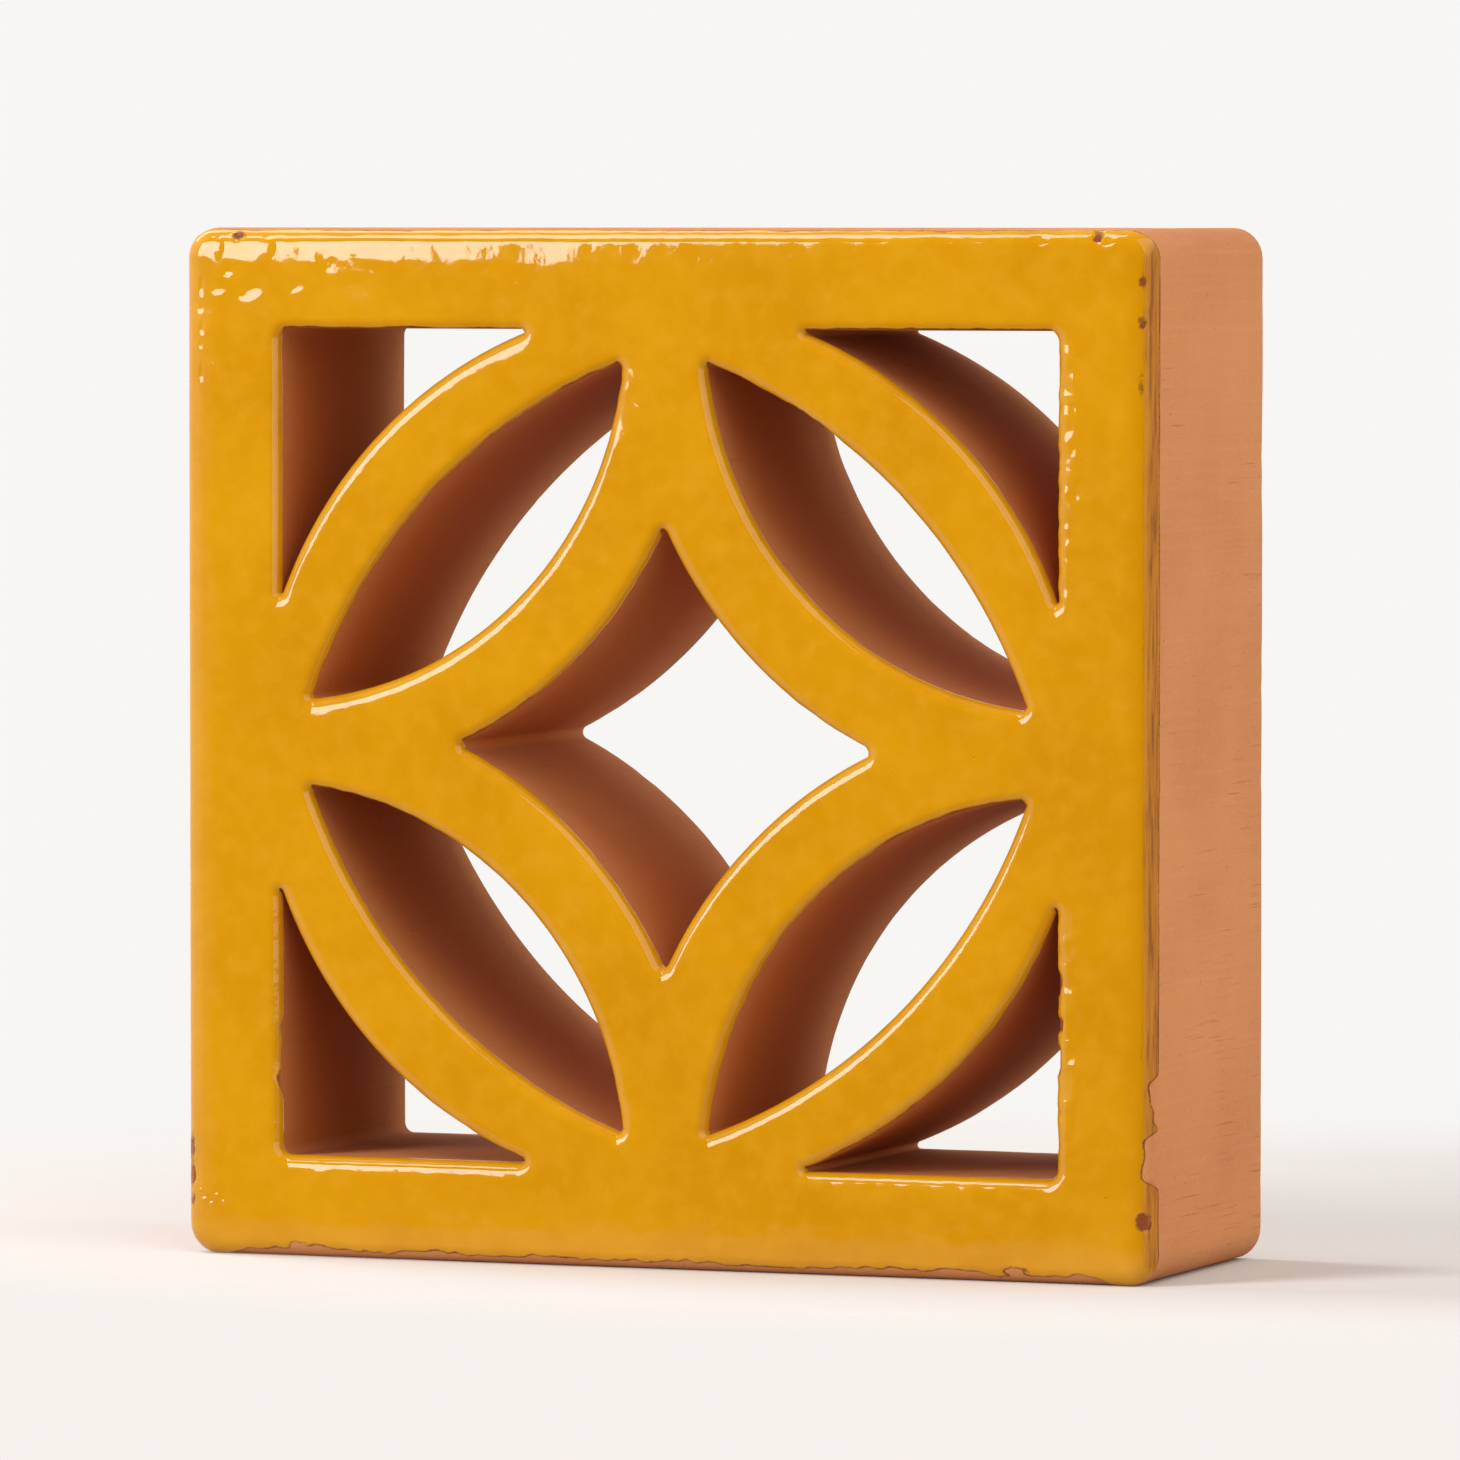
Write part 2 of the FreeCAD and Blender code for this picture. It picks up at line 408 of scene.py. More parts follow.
def closed_sheet(name, columns, corners):
    """A closed piece whose rows of corners run along every outline, filled at its first and last row."""
    bpy.ops.object.select_all(action='DESELECT')
    rings = []
    first = 0
    for count in columns.counts:
        bpy.ops.mesh.primitive_circle_add(vertices=count, radius=FACE_HALF)
        ring = bpy.context.object
        column = ring.data.attributes.new("column", 'INT', 'POINT')
        column.data.foreach_set("value", np.arange(first, first + count, dtype=np.int32))
        ring.data.attributes.new("row", 'INT', 'POINT')
        rings.append(ring)
        first += count
    for ring in rings:
        ring.select_set(True)
    bpy.context.view_layer.objects.active = rings[0]
    bpy.ops.object.join()
    piece = bpy.context.object
    piece.name = name
    mesh = piece.data
    mesh.name = name
    mesh.attributes.active = mesh.attributes["row"]
    bpy.ops.object.mode_set(mode='EDIT')
    bpy.ops.mesh.select_mode(type='VERT')
    bpy.ops.mesh.select_all(action='SELECT')
    for row in range(1, len(corners)):
        bpy.ops.mesh.extrude_edges_move()
        bpy.ops.mesh.attribute_set(value_int=row)
    bpy.ops.object.mode_set(mode='OBJECT')
    rows, column_numbers = corner_numbers(piece)
    mesh.vertices.foreach_set("co", corners[rows, column_numbers].ravel())
    for end in (0, len(corners) - 1):
        choose(piece, "row", end)
        bpy.ops.mesh.fill(use_beauty=True)
    bpy.ops.mesh.select_all(action='SELECT')
    bpy.ops.mesh.normals_make_consistent(inside=False)
    bpy.ops.object.mode_set(mode='OBJECT')
    bpy.ops.object.shade_smooth()
    return piece


def corner_numbers(piece):
    """Row and column of each corner of a piece."""
    numbers = []
    for attribute in ("row", "column"):
        values = np.empty(len(piece.data.vertices), dtype=np.int32)
        piece.data.attributes[attribute].data.foreach_get("value", values)
        numbers.append(values)
    return numbers


def add_values(piece, name, values):
    """Give each corner of a piece a value from a table of rows and columns."""
    rows, numbers = corner_numbers(piece)
    attribute = piece.data.attributes.new(name, 'FLOAT', 'POINT')
    attribute.data.foreach_set("value", values[rows, numbers])


# Rows and columns of the clay body.
CLAY_STEP = 1.6 * MM                    # distance from column to column
CLAY_FACE_REACH = 3 * MM                # how far the first row lies past the lip, on the face
CLAY_LIP_ROWS = 7
CLAY_WALL_ROWS = 17
CLAY_BACK_LIP_ROWS = 5
CLAY_BACK_REACHES = (1.5 * MM, 4 * MM)  # how far the last rows lie past the back lip, on the back
# Depths behind the front between which the clay changes.
UNEVEN_DEPTHS = (4 * MM, 14 * MM)       # its walls become uneven
BACK_WEAR_DEPTHS = (60 * MM, 64 * MM)   # its back edges become worn
SHADE_DEEPENS_DEPTHS = (2 * MM, 18 * MM)       # the painted shade on the openings' walls deepens
SHADE_LIFTS_DEPTHS = (38 * MM, 64 * MM)       # and lifts again towards the back, as painted light from behind
BACK_WEAR = 0.16 * MM
FRONT_SHADE = 0.6                     # how deep the painted shade on the openings' walls already is at the front
LEDGE_SHADE_LIFT = 0.7                    # how much less painted shade they get where they look up, as if lit from above


def clay_runs(columns, depth):
    """Rows of the clay body: face, lip, wall, back lip and back."""
    quarter = columns.lip * math.pi / 2
    back_quarter = columns.back_lip * math.pi / 2
    wall = depth - columns.lip - columns.back_lip
    rows = [quarter + CLAY_FACE_REACH]
    for part in np.linspace(1, 0, CLAY_LIP_ROWS):
        rows.append(quarter * part)
    for part in np.linspace(0, 1, CLAY_WALL_ROWS)[1:]:
        rows.append(-wall * part)
    for part in np.linspace(0, 1, CLAY_BACK_LIP_ROWS)[1:]:
        rows.append(-wall - back_quarter * part)
    for reach in CLAY_BACK_REACHES:
        rows.append(-wall - back_quarter - reach)
    return np.stack(rows)


def make_clay_body(sizes, glaze):
    """The block of fired clay, its face standing back by the glaze."""
    columns = Columns(sizes, CLAY_STEP, CLAY_STEP)
    run = clay_runs(columns, DEPTH - glaze.recess)
    even = clay_points(columns, run, np.zeros_like(run), glaze.recess)
    deep = even[..., 1] - FRONT
    dent = 0.5 + 0.35 * ripple(even, 24 * MM, 1) + 0.15 * ripple(even, 6 * MM, 2)
    uneven = smooth_step(*UNEVEN_DEPTHS, deep)
    worn = np.clip(ripples(even, (1, 9 * MM, 3), (0.6, 3 * MM, 4)) - 0.15, 0, 1)
    near_back = smooth_step(*BACK_WEAR_DEPTHS, deep)
    rise = -sizes.unevenness * 2 * dent * uneven - BACK_WEAR * worn * near_back
    rise[-1] = -sizes.unevenness     # one plane, on which the back is filled
    piece = closed_sheet("clay_body", columns, clay_points(columns, run, rise, glaze.recess))
    # Painted shade inside the openings: lighter at the front, darkest deep in, lifting towards the back
    # where light from behind falls, and weaker on walls that look up.
    inner = FRONT_SHADE + (1 - FRONT_SHADE) * smooth_step(*SHADE_DEEPENS_DEPTHS, deep)
    inner *= 1 - smooth_step(*SHADE_LIFTS_DEPTHS, deep)
    add_values(piece, "inner", inner * (1 - LEDGE_SHADE_LIFT * columns.looks(UP)) * ~columns.at_edge)
    # Clay close to the face is made dark brown, except along the stretches where the glaze ends early.
    add_values(piece, "burnt", np.broadcast_to(1 - bare_stretch(columns), run.shape))
    return piece


# Stretches of the right edge where the glaze ends early: from and to, up from the middle of the face, and
# the end as a share of the rounding. Each begins and ends softly.
RIGHT_BARE = ((-80.5 * MM, -71.0 * MM, 0.78), (-69.5 * MM, -60.5 * MM, 0.45))
RIGHT_BARE_SOFT = 1.2 * MM
# Along the bottom edge it ends early to this distance from the middle, on both sides.
BOTTOM_BARE_HALF = 90 * MM
BOTTOM_BARE_SOFT = 4 * MM
# The stretch of the lower left corner opening's left lip where the glaze ends early, and its end there.
LIP_BARE = (-68 * MM, -54 * MM)
LIP_BARE_SOFT = 1.5 * MM
LIP_BARE_LEFT_OF = -80 * MM
LIP_BARE_RUN = 1.2 * MM
LEAST_EDGE_END = 0.35 * MM         # the glaze of the outer edge ends at least this far up its rounding
RIGHT_STEADINESS = 0.65            # how much less the glaze's end strays along the right edge
# Places where the glaze has flaked off, in millimetres: middle across and up from the middle of the face,
# half width and half height.
CHIPS = (
    (97.8, -87.8, 1.2, 1.5),
    (97.4, 89.7, 0.4, 0.9),
    (97.3, 81.9, 0.4, 0.8),
    (97.0, 70.5, 0.3, 1.3),
    (-98.9, -79.5, 0.5, 1.8),
    (-98.8, -84.6, 0.6, 1.5),
    (-98.7, -89.6, 0.4, 0.9),
    (80.8, -43.0, 0.4, 1.3),
    (80.9, -50.5, 0.5, 0.9),
    (80.8, -57.0, 0.4, 1.5),
    (-88.5, 98.3, 1.0, 0.5),
    (88.2, 98.2, 0.8, 0.8),
    (-76.0, -98.1, 1.8, 0.9),
    (72.0, -98.1, 1.7, 0.9),
)


def band(low, high, soft, value):
    """1 between two values, with soft ends."""
    return smooth_step(low - soft, low + soft, value) * (1 - smooth_step(high - soft, high + soft, value))


def bare_stretch(columns):
    """1 in the columns of the outer edge where the glaze ends early."""
    across, up = columns.place.T
    bare = band(-BOTTOM_BARE_HALF, BOTTOM_BARE_HALF, BOTTOM_BARE_SOFT, across) * columns.looks(DOWN)
    for low, high, _ in RIGHT_BARE:
        bare += band(low, high, RIGHT_BARE_SOFT, up) * columns.looks(RIGHT)
    return bare * columns.at_edge


def glaze_end(columns, glaze):
    """The run at which the glaze ends in each column."""
    across, up = columns.place.T
    points = np.stack((across, np.zeros_like(across), up), axis=-1)
    stray = glaze.waver * ripples(points, (0.9, 9 * MM, 5), (0.6, 2.4 * MM, 6))
    ragged = glaze.ragged * ripples(points, (0.9, 8 * MM, 12), (0.8, 2.6 * MM, 13))
    looks_right = columns.looks(RIGHT)
    looks_down = columns.looks(DOWN)
    lip_end = -glaze.lip_run + (glaze.lip_run + glaze.ceiling_bare) * looks_down
    flaked = band(*LIP_BARE, LIP_BARE_SOFT, up) * looks_right * (across < LIP_BARE_LEFT_OF)
    lip_end += flaked * (LIP_BARE_RUN + ragged)
    right_share = np.full_like(up, glaze.side_share)
    for low, high, bare_share in RIGHT_BARE:
        right_share += (bare_share - glaze.side_share) * band(low, high, RIGHT_BARE_SOFT, up) * looks_right
    bottom = band(-BOTTOM_BARE_HALF, BOTTOM_BARE_HALF, BOTTOM_BARE_SOFT, across)
    bottom_share = glaze.side_share + (glaze.bottom_share - glaze.side_share) * bottom
    edge_share = looks_right * right_share
    edge_share += columns.looks(LEFT) * glaze.side_share
    edge_share += columns.looks(UP) * glaze.top_share
    edge_share += looks_down * bottom_share
    edge_end = edge_share * columns.lip * math.pi / 2 + stray * (1 - RIGHT_STEADINESS * looks_right)
    edge_end += bare_stretch(columns) * ragged
    return np.where(columns.at_edge, np.maximum(edge_end, LEAST_EDGE_END), lip_end + stray)


def chip_distance(points):
    """Distance from the edge of the nearest chip, below zero inside it."""
    grain = ripples(points, (0.5, 2.2 * MM, 8), (0.6, 0.9 * MM, 10))
    nearest = np.full(points.shape[:-1], FACE_HALF)
    for across, up, half_width, half_height in np.array(CHIPS) * MM:
        aside = (points[..., 0] - across) / half_width
        above = (points[..., 2] - CENTRE_HEIGHT - up) / half_height
        distance = (np.hypot(aside, above) - 1 + grain) * min(half_width, half_height)
        nearest = np.minimum(nearest, distance)
    return nearest


# Rows and columns of the glaze coat.
GLAZE_EDGE_STEP = 0.6 * MM         # distance from column to column along the outer edge
GLAZE_LIP_STEP = 0.9 * MM          # and along the openings' lips
FACE_ROWS = 13
FACE_ROW_POWER = 1.4               # how much the face's rows crowd towards the rim
FACE_REACH_EDGE = 6.5 * MM         # how far the first row lies past the outer edge's rounding
FACE_REACH_LIP = 3.9 * MM          # and past a lip
# Distances of the rim's rows from the glaze's end; past the end the rim dives into the clay.
RIM_ROWS = (1.2 * MM, 0.8 * MM, 0.5 * MM, 0.3 * MM, 0.16 * MM, 0.06 * MM, 0.0, -0.12 * MM, -0.4 * MM)
UNDERSIDE = -0.45 * MM             # depth of the hidden underside in the clay
UNDER_END = 0.8 * MM               # distance of its first row from the glaze's end
UNDER_REACHES = (0.2 * MM, 2.5 * MM)   # how far its other rows lie past the rounding
# Distances past the rounding over which the glaze reaches its full thickness and its waves die down.
EDGE_PILLOW = (-2 * MM, 3.5 * MM)
LIP_PILLOW = (-0.8 * MM, 1.6 * MM)
EDGE_WAVE_FADE = (2.5 * MM, FACE_REACH_EDGE)
LIP_WAVE_FADE = (1.2 * MM, FACE_REACH_LIP)
WAVE_START = (0, 1.2 * MM)         # distances from the glaze's end over which its waves set in
CALMER_ACROSS = (-75 * MM, -40 * MM)   # places across, between which the outer edge's waves become lower
RIGHT_CALM = 0.75                  # how much lower they are to the right of those places
LEFT_CALM = 0.4                    # and along the left edge
LEDGE_WAVE = 6                     # how much higher the waves are on level lips
UPRIGHT_WAVE = 3.6                 # height of the beads on upright lips that look left
MOST_WAVE = 1.2                    # limit of all these heights
STRAIGHT = 40                      # sharpness that tells a level or upright lip from a sloping one
RIGHT_SHADE_RUN = (1.8 * MM, 9 * MM)      # over this run the right edge's painted shade, with the brown of its thin glaze, turns back to yellow
# Height of the glaze by the distance from a chip's edge.
CHIP_DISTANCES = (-0.4 * MM, 0.0, 0.35 * MM, 1.0 * MM)
CHIP_RISES = (-0.3 * MM, 0.0, 0.30 * MM, 1.0 * MM)
CHIP_MARGIN = 1.1                  # how much narrower the dark margin of painted shade and thin glaze is round a chip than along the end
LEAST_COSINE = 1e-6


def glaze_rise(columns, glaze, run, inside, chips, points):
    """Height of the glaze over the clay; it is below zero where the clay is bare."""
    looks_right = columns.looks(RIGHT)
    edge_thickness = glaze.edge_thickness + (glaze.right_thickness - glaze.edge_thickness) * looks_right
    ledge = columns.looks(UP, STRAIGHT)
    lip_thickness = glaze.lip_thickness + (glaze.ledge_thickness - glaze.lip_thickness) * ledge
    rim_thickness = np.where(columns.at_edge, edge_thickness, lip_thickness)
    rim = rim_thickness * np.sqrt(1 - (1 - np.clip(inside / glaze.rim_width, 0, 1)) ** 2)
    on_flat = run - columns.lip * math.pi / 2
    edge_pillow = smooth_step(*EDGE_PILLOW, on_flat)
    lip_pillow = smooth_step(*LIP_PILLOW, on_flat)
    rise = rim + (glaze.thickness - rim_thickness) * np.where(columns.at_edge, edge_pillow, lip_pillow)
    edge_wave = ripples(points, (0.9, 7 * MM, 7), (0.65, 3 * MM, 9))
    edge_wave *= 1 - LEFT_CALM * columns.looks(LEFT)
    edge_wave *= 1 - RIGHT_CALM * smooth_step(*CALMER_ACROSS, columns.place[:, 0])
    edge_wave *= 1 - smooth_step(*EDGE_WAVE_FADE, on_flat)
    lip_wave = ripples(points, (0.1, 5 * MM, 7), (0.1, 2.5 * MM, 9)) * (1 + LEDGE_WAVE * ledge)
    lip_wave += UPRIGHT_WAVE * ripple(points, 2.2 * MM, 14) * columns.looks(LEFT, STRAIGHT)
    lip_wave *= 1 - smooth_step(*LIP_WAVE_FADE, on_flat)
    wave = np.where(columns.at_edge, edge_wave, lip_wave) * smooth_step(*WAVE_START, inside)
    rise += glaze.wave * np.clip(wave, -MOST_WAVE, MOST_WAVE) * np.minimum(rise / glaze.thickness, 1)
    rise = np.where(inside < 0, np.maximum(inside, UNDERSIDE), rise)
    rise = np.minimum(rise, np.interp(chips, CHIP_DISTANCES, CHIP_RISES))
    # On the outer edge the glaze stays inside the block's sides.
    angle = np.clip(run / columns.lip, 0, math.pi / 2)
    room = columns.lip * (1 - np.cos(angle)) / np.maximum(np.cos(angle), LEAST_COSINE)
    return np.where(columns.at_edge, np.minimum(rise, room), rise)


def make_glaze_coat(sizes, glaze):
    """The coat of glaze over the face and the lips, with an uneven rounded end and chips."""
    columns = Columns(sizes, GLAZE_EDGE_STEP, GLAZE_LIP_STEP)
    end = glaze_end(columns, glaze)
    quarter = columns.lip * math.pi / 2
    inner = quarter + np.where(columns.at_edge, FACE_REACH_EDGE, FACE_REACH_LIP)
    outer = end + RIM_ROWS[0]
    rows = []
    for part in np.linspace(1, 0, FACE_ROWS, endpoint=False):
        rows.append(outer + (inner - outer) * part ** FACE_ROW_POWER)
    for distance in RIM_ROWS:
        rows.append(end + distance)
    run = np.stack(rows)
    on_clay = clay_points(columns, run, np.zeros_like(run), glaze.recess)
    inside = run - end
    chips = chip_distance(on_clay)
    rise = glaze_rise(columns, glaze, run, inside, chips, on_clay)
    # Distance into the band of painted shade and thin glaze at the glaze's end and round chips.
    margin = np.clip(np.minimum(inside, CHIP_MARGIN * chips) / glaze.margin, 0, 1)
    under = np.stack([end + UNDER_END] + [quarter + reach for reach in UNDER_REACHES])
    run = np.concatenate((run, np.maximum(under, end + UNDER_END)))
    rise = np.concatenate((rise, np.full_like(under, UNDERSIDE)))
    margin = np.concatenate((margin, np.ones_like(under)))
    rise[0] = glaze.thickness        # one plane, on which the face is filled
    piece = closed_sheet("glaze_coat", columns, clay_points(columns, run, rise, glaze.recess))
    add_values(piece, "margin", margin)
    # Painted shade along the right edge's rounding, where it turns from the key lamp, mixed with the brown
    # of its thinner glaze.
    right_edge = columns.looks(RIGHT) * columns.at_edge
    add_values(piece, "worn", right_edge * (1 - smooth_step(*RIGHT_SHADE_RUN, run)))
    return piece


class Field:
    """A socket that a shader expression reads; arithmetic on it adds Math nodes."""

    def __init__(self, surface, socket):
        self.surface = surface
        self.socket = socket

    def math(self, operation, first, second):
        return self.surface.node("ShaderNodeMath", {"operation": operation}, {0: first, 1: second})

    def __add__(self, other):
        return self.math('ADD', self, other)

    def __radd__(self, other):
        return self.math('ADD', other, self)

    def __sub__(self, other):
        return self.math('SUBTRACT', self, other)

    def __rsub__(self, other):
        return self.math('SUBTRACT', other, self)

    def __mul__(self, other):
        return self.math('MULTIPLY', self, other)

    def __rmul__(self, other):
        return self.math('MULTIPLY', other, self)

    def __lt__(self, other):
        return self.math('LESS_THAN', self, other)


def opaque(tint):
    """A colour with full alpha; a link stays as it is."""
    return tint if isinstance(tint, Field) else (*tint, 1.0)


class Surface:
    """A node tree under construction."""

    def __init__(self, tree):
        self.tree = tree
        tree.nodes.clear()

    def node(self, kind, settings=None, inputs=None, output=0):
        """Add a node: its settings are set first, then the values or links of its sockets."""
        added = self.tree.nodes.new(kind)
        for name, value in (settings or {}).items():
            if name == "stops":
                self.set_stops(added.color_ramp, value)
            else:
                setattr(added, name, value)
        for name, value in (inputs or {}).items():
            if isinstance(value, Field):
                self.tree.links.new(value.socket, added.inputs[name])
            else:
                added.inputs[name].default_value = value
        return Field(self, added.outputs[output]) if added.outputs else added

    def set_stops(self, ramp, stops):
        """Set a ramp's stops, each a position and a grey level."""
        while len(ramp.elements) < len(stops):
            ramp.elements.new(1)
        for element, (position, level) in zip(ramp.elements, stops):
            element.position = position
            element.color = (level, level, level, 1)

    def position(self):
        return self.node("ShaderNodeTexCoord", output="Object")

    def attribute(self, name):
        return self.node("ShaderNodeAttribute", {"attribute_name": name}, output="Fac")

    def stretched(self, across, deep, up):
        """The position, measured in steps of its own along each axis."""
        return self.node("ShaderNodeMapping", inputs={
            "Vector": self.position(), "Scale": (1 / across, 1 / deep, 1 / up)})

    def noise(self, size, detail=2.0, rough=0.5, vector=None):
        """Noise from 0 to 1 with blotches of about a size, in metres or in a vector's own steps."""
        return self.node("ShaderNodeTexNoise", inputs={
            "Vector": vector or self.position(), "Scale": 1 / size, "Detail": detail, "Roughness": rough})

    def specks(self, spacing, size, amount):
        """1 in scattered round specks of a size, in a share of the cells of a spacing."""
        cells = {"Vector": self.position(), "Scale": 1 / spacing}
        away = self.node("ShaderNodeTexVoronoi", inputs=cells, output="Distance")
        tint = self.node("ShaderNodeTexVoronoi", inputs=cells, output="Color")
        pick = self.node("ShaderNodeSeparateColor", inputs={"Color": tint}, output="Red")
        reach = size / spacing
        spot = self.ramp(away, ((reach * 0.6, 1), (reach, 0)))
        return spot * (pick < amount)

    def ramp(self, value, stops):
        return self.node("ShaderNodeValToRGB", {"stops": stops}, {"Fac": value})

    def mix(self, factor, first, second):
        """A colour between two colours."""
        sockets = {0: factor, 6: opaque(first), 7: opaque(second)}
        return self.node("ShaderNodeMix", {"data_type": 'RGBA'}, sockets, output=2)

    def bump(self, height, distance, normal=None):
        sockets = {"Height": height, "Distance": distance, "Strength": 1.0}
        if normal is not None:
            sockets["Normal"] = normal
        return self.node("ShaderNodeBump", inputs=sockets)

    def finish(self, sockets):
        """Close the material with one shader of those sockets."""
        shader = self.node("ShaderNodeBsdfPrincipled", inputs=sockets)
        self.node("ShaderNodeOutputMaterial", inputs={"Surface": shader})


def new_material(name):
    material = bpy.data.materials.new(name)
    material.use_nodes = True
    return material, Surface(material.node_tree)


# Swells and hollows of the glaze, in millimetres: middle across and up from the middle of the face, half
# length and half width, lean in degrees, and depth, which is below zero for a swell.
HOLLOWS = (
    (-90.5, 91.8, 2.3, 1.6, 15, 0.05),
    (-92.6, 88.6, 2.7, 2.0, 8, 0.06),
    (-85.6, 88.6, 4.2, 2.8, 28, 0.11),
    (-76.0, 88.6, 2.4, 1.4, 35, 0.04),
    (-92.6, 96.2, 1.4, 2.8, 0, -0.12),
    (-82.6, 95.8, 2.3, 3.0, -20, -0.17),
    (-96.2, 88.6, 0.9, 2.6, 0, 0.10),
    (-96.4, 84.2, 0.8, 1.1, 0, 0.05),
    (-96.1, 80.6, 0.9, 2.0, 0, 0.08),
    (-96.3, 77.2, 0.7, 1.0, 0, 0.045),
    (-96.2, 72.0, 0.8, 2.4, 0, 0.09),
    (76.5, 97.6, 2.6, 1.6, 12, 0.10),
    (89.5, 97.4, 3.2, 1.6, 14, 0.12),
    (-96.0, -89.4, 0.9, 0.7, 0, -0.09),
    (-94.4, -90.2, 0.7, 0.6, 0, -0.08),
    (-96.9, -87.6, 0.6, 0.6, 0, -0.07),
    (-93.2, -88.4, 0.7, 0.5, 0, -0.07),
    (-91.8, -89.8, 0.8, 0.6, 0, -0.08),
)


def hollows(surface):
    """Height of the glaze's skin over its swells and hollows, in millimetres."""
    height = 0
    for across, up, half_length, half_width, lean, depth in HOLLOWS:
        spot = surface.node("ShaderNodeMapping", {"vector_type": 'TEXTURE'}, {
            "Vector": surface.position(),
            "Location": (across * MM, 0, CENTRE_HEIGHT + up * MM),
            "Rotation": (0, -math.radians(lean), 0),
            "Scale": (half_length * MM, 1, half_width * MM),
        })
        away = surface.node("ShaderNodeVectorMath", {"operation": 'DOT_PRODUCT'}, {0: spot, 1: spot},
                            output="Value")
        bowl = away.math('MAXIMUM', 1 - away, 0)
        height = height - bowl * bowl * depth
    return height


def glaze_material(finish):
    """Glossy mustard glaze: mottled, with pinholes, painted shade in brown and dark runs along the thin
    right edge, and a dark end of thin glaze and painted shade.
    """
    material, surface = new_material("mustard_glaze")
    worn = surface.attribute("worn")
    margin = surface.attribute("margin")
    clouds = surface.ramp(surface.noise(26 * MM, 3.0, 0.55), ((0.34, 0), (0.66, 1)))
    mottle = surface.ramp(surface.noise(4.5 * MM, 4.0, 0.6), ((0.42, 0), (0.74, 1)))
    tint = surface.mix(clouds * 0.65, finish.glaze, finish.glaze_deep)
    tint = surface.mix(mottle * 0.45, tint, finish.glaze_light)
    pinholes = surface.specks(9 * MM, 0.2 * MM, 0.4)
    tint = surface.mix(pinholes * 0.7, tint, finish.pinhole)
    # Along the right edge: painted shade in deep amber and brown, with dark runs, for the rounding that
    # turns from the key lamp, and the brown of thin glaze.
    tint = surface.mix(surface.ramp(worn, ((0.0, 0), (0.6, 1))) * 0.8, tint, finish.glaze_deep)
    thin = surface.ramp(worn + surface.noise(2.5 * MM) * 0.2, ((0.72, 0), (1.0, 1)))
    tint = surface.mix(thin * 0.85, tint, finish.glaze_thin_and_shade)
    runs = surface.noise(1, 3.0, 0.6, surface.stretched(0.55 * MM, 0.55 * MM, 14 * MM))
    tint = surface.mix(thin * surface.ramp(runs, ((0.36, 1), (0.46, 0))) * 0.6, tint, finish.glaze_deep)
    tint = surface.mix(thin * surface.ramp(runs, ((0.53, 0), (0.61, 1))) * 0.6, tint, finish.glaze_end)
    # Dark line at the glaze's end and round chips: painted shade of the step, with the brown of thin glaze.
    ragged = margin + surface.noise(0.8 * MM) * 0.5 + surface.noise(7 * MM) * 0.4
    end = surface.ramp(ragged, ((0.45, 1), (0.72, 0)))
    tint = surface.mix(end, tint, finish.glaze_end)
    roughness = 0.035 + surface.noise(9 * MM, 3.0) * 0.03 + thin * 0.6 + end * 0.45
    waves = surface.bump(surface.noise(12 * MM, 2.0, 0.4) * 0.22 + hollows(surface), MM)
    skin = surface.bump(surface.noise(4.0 * MM, 3.0, 0.5) - pinholes * 0.6, 0.05 * MM, waves)
    surface.finish({"Base Color": tint, "Roughness": roughness, "Normal": skin, "IOR": 1.45})
    return material


def clay_material(finish):
    """Matt terracotta: darker and dusty patches, grains, pores, drag lines from front to back, painted
    shade deep inside the openings, and dark brown clay close to the face.
    """
    material, surface = new_material("bare_terracotta")
    patches = surface.ramp(surface.noise(38 * MM, 4.0, 0.6), ((0.35, 0), (0.68, 1)))
    drag_lines = surface.noise(1, 3.0, 0.65, surface.stretched(1.1 * MM, 45 * MM, 1.1 * MM))
    dust = surface.ramp(drag_lines, ((0.48, 0), (0.72, 1)))
    grain = surface.noise(0.9 * MM, 3.0, 0.7)
    tint = surface.mix(patches * 0.65, finish.clay, finish.clay_dark)
    tint = surface.mix(dust * 0.2, tint, finish.clay_pale)
    tint = surface.mix(surface.ramp(grain, ((0.52, 0), (0.75, 1))) * 0.5, tint, finish.clay_pale)
    hairlines = surface.noise(1, 2.0, 0.5, surface.stretched(0.35 * MM, 22 * MM, 0.35 * MM))
    scratched = surface.ramp(surface.noise(30 * MM), ((0.50, 0), (0.62, 1)))
    scratches = scratched * surface.ramp(hairlines, ((0.66, 0), (0.74, 1)))
    tint = surface.mix(scratches * 0.45, tint, finish.grog)
    pores = surface.specks(2.6 * MM, 0.22 * MM, 0.4)
    tint = surface.mix(pores * 0.5, tint, finish.grog)
    # Painted shade deep inside the openings, read from the inner attribute.
    inner = surface.attribute("inner")
    tint = surface.mix(inner * 0.9, tint, finish.clay_inside_shade)
    grains = surface.specks(4 * MM, 0.35 * MM, 0.45)
    tint = surface.mix(grains * 0.6, tint, finish.grog)
    # Dark brown clay close to the face, except where the glaze ends early.
    deep = surface.node("ShaderNodeSeparateXYZ", inputs={0: surface.position()}, output="Y") - FRONT
    near_face = surface.ramp(deep * (1 / FACE_HALF), ((0.011, 1), (0.026, 0)))
    burnt = surface.attribute("burnt")
    tint = surface.mix(near_face * burnt * 0.9, tint, finish.clay_dark_near_face)
    roughness = 0.82 + grain * 0.14
    drag = surface.bump(drag_lines, 0.035 * MM)
    skin = surface.bump(grain - grains * 0.5 - pores - scratches * 0.4, 0.12 * MM, drag)
    surface.finish({"Base Color": tint, "Roughness": roughness, "Normal": skin, "Specular IOR Level": 0.25})
    return material


